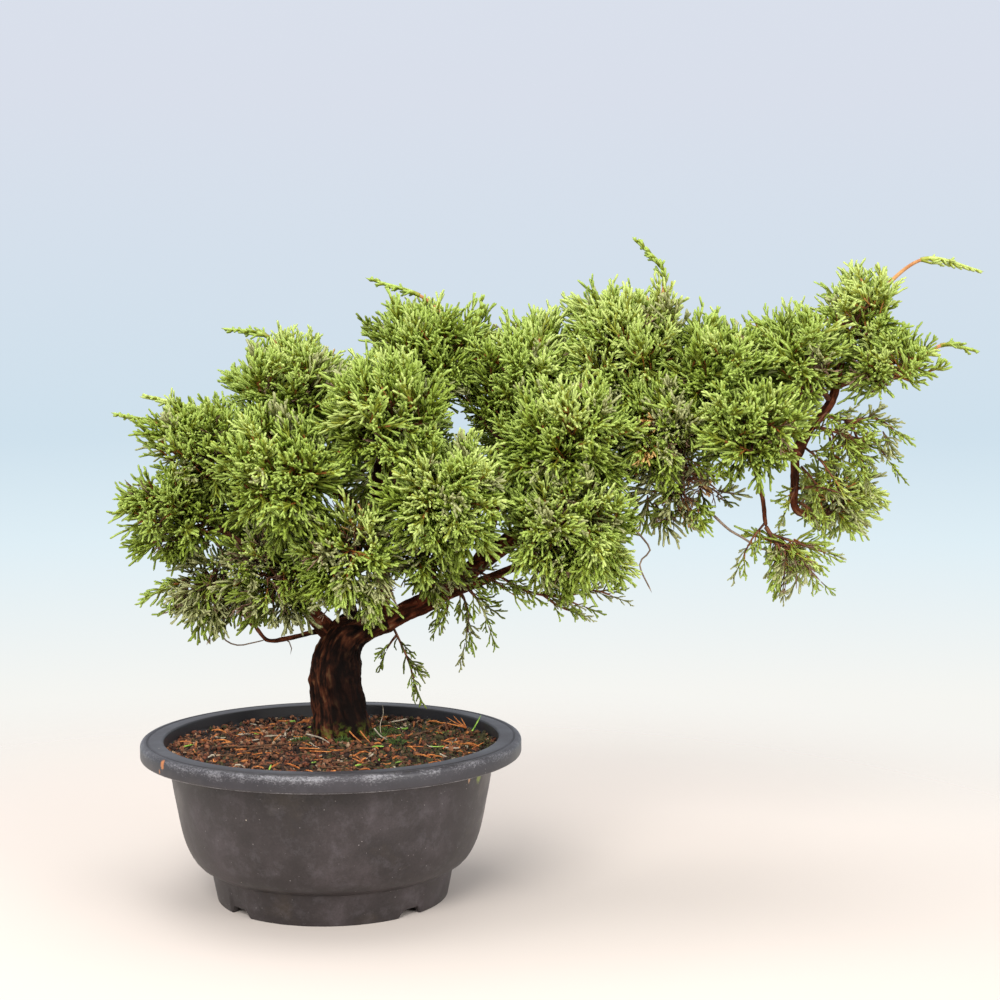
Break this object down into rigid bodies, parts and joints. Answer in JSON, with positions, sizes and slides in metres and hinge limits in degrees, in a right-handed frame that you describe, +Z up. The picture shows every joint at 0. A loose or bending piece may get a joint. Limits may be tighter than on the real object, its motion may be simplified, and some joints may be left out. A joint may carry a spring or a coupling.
{
  "type": "juniper bonsai in training pot",
  "caption": "Itoigawa juniper bonsai with a short leaning trunk, a crown of scale-leaf pads and one long arm, standing in a round plastic training pot.",
  "frame": {"origin": "the middle of the pot's underside, on the flat pad that the pot stands on with its foot ring", "axes": "+Z up the pot's axis, +X towards the tip of the long arm, -Y towards the plant's front"},
  "size_m": [0.5474, 0.2518, 0.416],
  "materials": {
    "pot": "matt moulded plastic with scuffed rim",
    "soil": "coarse baked clay and bark grains",
    "trunk_bark": "fibrous bark",
    "limb_bark": "flaking bark",
    "foliage": "waxy scale leaves"
  },
  "bodies": {
    "root": {"pot": "pot", "soil": "soil", "trunk": "trunk_bark", "arm_limb": "limb_bark", "arm_outer_limb": "limb_bark", "tip_limb": "limb_bark", "crown_limb": "limb_bark", "left_limb": "limb_bark", "left_twig_limb": "limb_bark", "left_high_limb": "limb_bark", "low_limb": "limb_bark", "mid_limb": "limb_bark", "front_limb": "limb_bark", "right_crown_limb": "limb_bark", "back_left_limb": "limb_bark", "back_limb": "limb_bark", "back_right_limb": "limb_bark", "arm_back_limb": "limb_bark", "hook_limb": "limb_bark", "low_twig_limb": "limb_bark", "far_left_mass": "foliage", "far_left_high_mass": "foliage", "low_left_mass": "foliage", "low_front_mass": "foliage", "left_crown_mass": "foliage", "front_left_mass": "foliage", "skirt_mass": "foliage", "front_high_mass": "foliage", "top_crown_mass": "foliage", "mid_crown_mass": "foliage", "right_crown_mass": "foliage", "inner_low_mass": "foliage", "front_centre_mass": "foliage", "front_right_mass": "foliage", "front_right_high_mass": "foliage", "back_left_mass": "foliage", "back_centre_mass": "foliage", "back_right_mass": "foliage", "arm_inner_mass": "foliage", "arm_top_mass": "foliage", "arm_front_mass": "foliage", "arm_under_mass": "foliage", "arm_crown_mass": "foliage", "arm_back_mass": "foliage", "tip_high_mass": "foliage", "tip_mass": "foliage", "sparse_mass": "foliage", "hang_mass": "foliage", "low_mass": "foliage", "under_spray": "foliage", "under_tuft": "foliage", "under_sprig": "foliage"}
  },
  "joints": []
}
